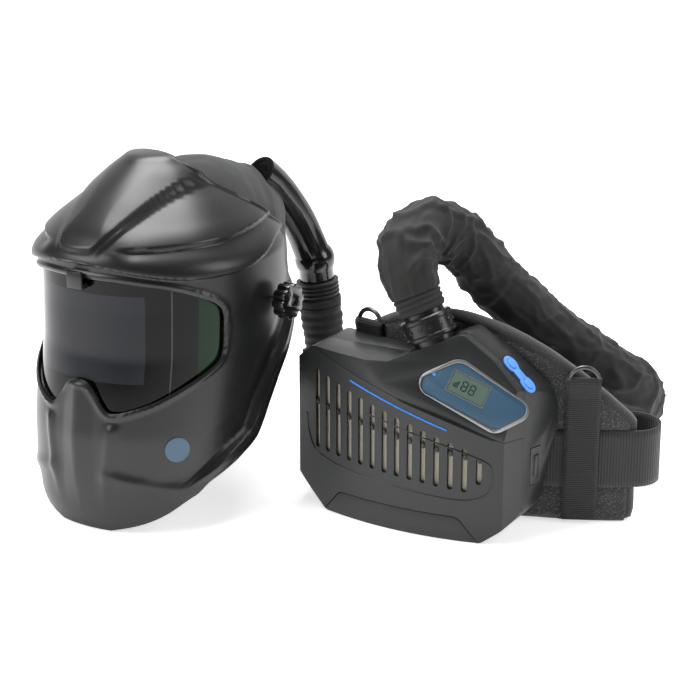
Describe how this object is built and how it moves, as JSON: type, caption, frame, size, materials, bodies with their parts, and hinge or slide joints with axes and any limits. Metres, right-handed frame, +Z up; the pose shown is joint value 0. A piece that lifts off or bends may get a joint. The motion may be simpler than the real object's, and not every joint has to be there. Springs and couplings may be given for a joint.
{
  "type": "powered air respirator",
  "caption": "Welding helmet with a flip-up shell on a fabric hood, joined by a sleeved breathing hose to a belt-mounted filter blower with a lumbar pad.",
  "frame": {"origin": "middle of the battery pack underside, the face that the blower stands on", "axes": "+Z up out of the floor; -Z is the normal of the blower foot; the blower face looks along -Y turned 30 degrees towards -X"},
  "size_m": [0.5761, 0.3206, 0.305],
  "materials": {
    "bezel": "bright bezel line",
    "board": "green circuit board",
    "filter_frame": "pale filter frame with pleats",
    "filter_glass": "dark welding filter",
    "filter_media": "beige filter fleece",
    "foam": "soft comfort foam",
    "gasket": "black foam rubber",
    "green_glass": "green side window",
    "helmet_shell": "satin black nylon",
    "hood_fabric": "charcoal flame resistant hood",
    "hose_fabric": "black flame resistant sleeve",
    "housing": "satin black ABS",
    "key_blue": "blue keypad",
    "lcd": "grey green LCD",
    "led": "status light",
    "lens": "clear cover lens over dark filter",
    "metal": "steel",
    "moulding": "black moulded plastic",
    "pad_fabric": "charcoal padded knit",
    "panel": "steel blue display panel",
    "rubber": "black rubber",
    "webbing": "black webbing",
    "wire_ring": "black coated wire"
  },
  "bodies": {
    "root": {"air_duct": "moulding", "battery_terminals": "metal", "belt_plate": "moulding", "breathing_hose": "hose_fabric", "buckle_socket": "moulding", "buckle_tongue": "moulding", "button_pad": "key_blue", "circuit_board": "board", "crown_straps": "moulding", "display_bezel": "bezel", "display_panel": "panel", "fabric_hood": "hood_fabric", "face_seal": "hood_fabric", "fan_motor": "metal", "fan_volute": "moulding", "filter_deck": "moulding", "filter_gasket": "gasket", "headband": "moulding", "hose_cuff_blower": "hose_fabric", "hose_cuff_helmet": "rubber", "housing_screws": "metal", "lcd_screen": "lcd", "lumbar_pad": "pad_fabric", "outlet_spigot": "moulding", "particle_filter": "filter_frame", "pivot_bolts": "metal", "pivot_plates": "moulding", "pivot_washers": "rubber", "prefilter": "filter_media", "ratchet_housing": "moulding", "rear_housing": "housing", "side_straps": "webbing", "status_led": "led", "sweat_pad": "foam", "upper_housing": "housing", "waist_webbing": "webbing"},
    "helmet": {"helmet_shell": "helmet_shell", "cover_lens": "lens", "lens_frame": "moulding", "welding_filter": "filter_glass", "inner_cover_plate": "lens", "side_windows": "green_glass", "badge_plate": "bezel"},
    "lens_latch": {"lens_clip": "moulding"},
    "knob_left": {"tilt_knob_left": "moulding"},
    "knob_right": {"tilt_knob_right": "moulding"},
    "nape_slide_body": {"nape_pad": "foam"},
    "ratchet_wheel": {"ratchet_knob": "moulding"},
    "outlet_lock": {"outlet_ring": "moulding"},
    "duct_lock": {"hose_swivel": "rubber"},
    "cover": {"filter_cover": "housing"},
    "battery": {"battery_pack": "housing"},
    "battery_key": {"battery_latch": "moulding"},
    "cover_key": {"cover_release": "moulding"},
    "plus_key": {"button_plus": "key_blue"},
    "minus_key": {"button_minus": "key_blue"},
    "ring_right": {"d_ring_right": "wire_ring"},
    "ring_left": {"d_ring_left": "wire_ring"},
    "fan_wheel": {"impeller": "moulding"},
    "slider": {"strap_slider": "moulding"}
  },
  "joints": [
    {"name": "helmet_tilt", "type": "hinge", "parent": "root", "child": "helmet", "pos_m": [-0.195, 0.122, 0.187], "axis": [-0.8387, 0.5446, 0], "range_deg": [0, 45]},
    {"name": "lens_clip_lift", "type": "slide", "parent": "helmet", "child": "lens_latch", "axis": [0, 0, 1], "range_m": [0, 0.003], "stiffness_N_per_m": 300, "springref_m": -0.0005},
    {"name": "left_knob_turn", "type": "hinge", "parent": "root", "child": "knob_left", "pos_m": [-0.09964, 0.06008, 0.187], "axis": [0.8387, -0.5446, 0], "range_deg": [-90, 90]},
    {"name": "right_knob_turn", "type": "hinge", "parent": "root", "child": "knob_right", "pos_m": [-0.29036, 0.18393, 0.187], "axis": [-0.8387, 0.5446, 0], "range_deg": [-90, 90]},
    {"name": "ratchet_turn", "type": "hinge", "parent": "root", "child": "ratchet_wheel", "pos_m": [-0.13814, 0.20956, 0.197], "axis": [0.5446, 0.8387, 0], "range_deg": [0, 350]},
    {"name": "nape_slide", "type": "slide", "parent": "root", "child": "nape_slide_body", "axis": [-0.5446, -0.8387, 0], "range_m": [0, 0.012]},
    {"name": "outlet_ring_turn", "type": "hinge", "parent": "root", "child": "outlet_lock", "pos_m": [0.02248, 0.01473, 0.1772], "axis": [-0.3655, 0.211, 0.9066], "range_deg": [0, 40]},
    {"name": "duct_ring_turn", "type": "hinge", "parent": "root", "child": "duct_lock", "pos_m": [-0.076, 0.22983, 0.15117], "axis": [0.1056, 0.0268, -0.994], "range_deg": [0, 40]},
    {"name": "cover_pull", "type": "slide", "parent": "root", "child": "cover", "axis": [-0.5, -0.866, 0], "range_m": [0, 0.06]},
    {"name": "battery_drop", "type": "slide", "parent": "root", "child": "battery", "axis": [0, 0, -1], "range_m": [0, 0.045]},
    {"name": "battery_latch_press", "type": "slide", "parent": "root", "child": "battery_key", "axis": [-0.704, 0.7102, 0], "range_m": [0, 0.0015], "stiffness_N_per_m": 600, "springref_m": -0.0005},
    {"name": "cover_release_press", "type": "slide", "parent": "root", "child": "cover_key", "axis": [0.9671, -0.2545, 0], "range_m": [0, 0.0015], "stiffness_N_per_m": 600, "springref_m": -0.0005},
    {"name": "button_plus_press", "type": "slide", "parent": "root", "child": "plus_key", "axis": [-0.6026, 0.3479, -0.7182], "range_m": [0, 0.001], "stiffness_N_per_m": 400, "springref_m": -0.0003},
    {"name": "button_minus_press", "type": "slide", "parent": "root", "child": "minus_key", "axis": [-0.6026, 0.3479, -0.7182], "range_m": [0, 0.001], "stiffness_N_per_m": 400, "springref_m": -0.0003},
    {"name": "right_d_ring_swing", "type": "hinge", "parent": "root", "child": "ring_right", "pos_m": [0.15582, 0.00371, 0.13079], "axis": [0.9976, -0.0698, 0], "range_deg": [0, 100]},
    {"name": "left_d_ring_swing", "type": "hinge", "parent": "root", "child": "ring_left", "pos_m": [-0.02693, 0.08167, 0.15947], "axis": [0.7408, -0.6717, 0], "range_deg": [0, 100]},
    {"name": "fan_spin", "type": "hinge", "parent": "root", "child": "fan_wheel", "pos_m": [0.03942, 0.02828, 0.088], "axis": [-0.5, -0.866, 0], "continuous": true},
    {"name": "slider_shift", "type": "hinge", "parent": "root", "child": "slider", "pos_m": [0.177, 0.30657, 0], "axis": [0, 0, 1], "range_deg": [-4.5, 4.5]}
  ],
  "couplings": [
    {"joint": "nape_slide", "follows": "ratchet_turn", "m_per_rad": 0.0019251}
  ]
}
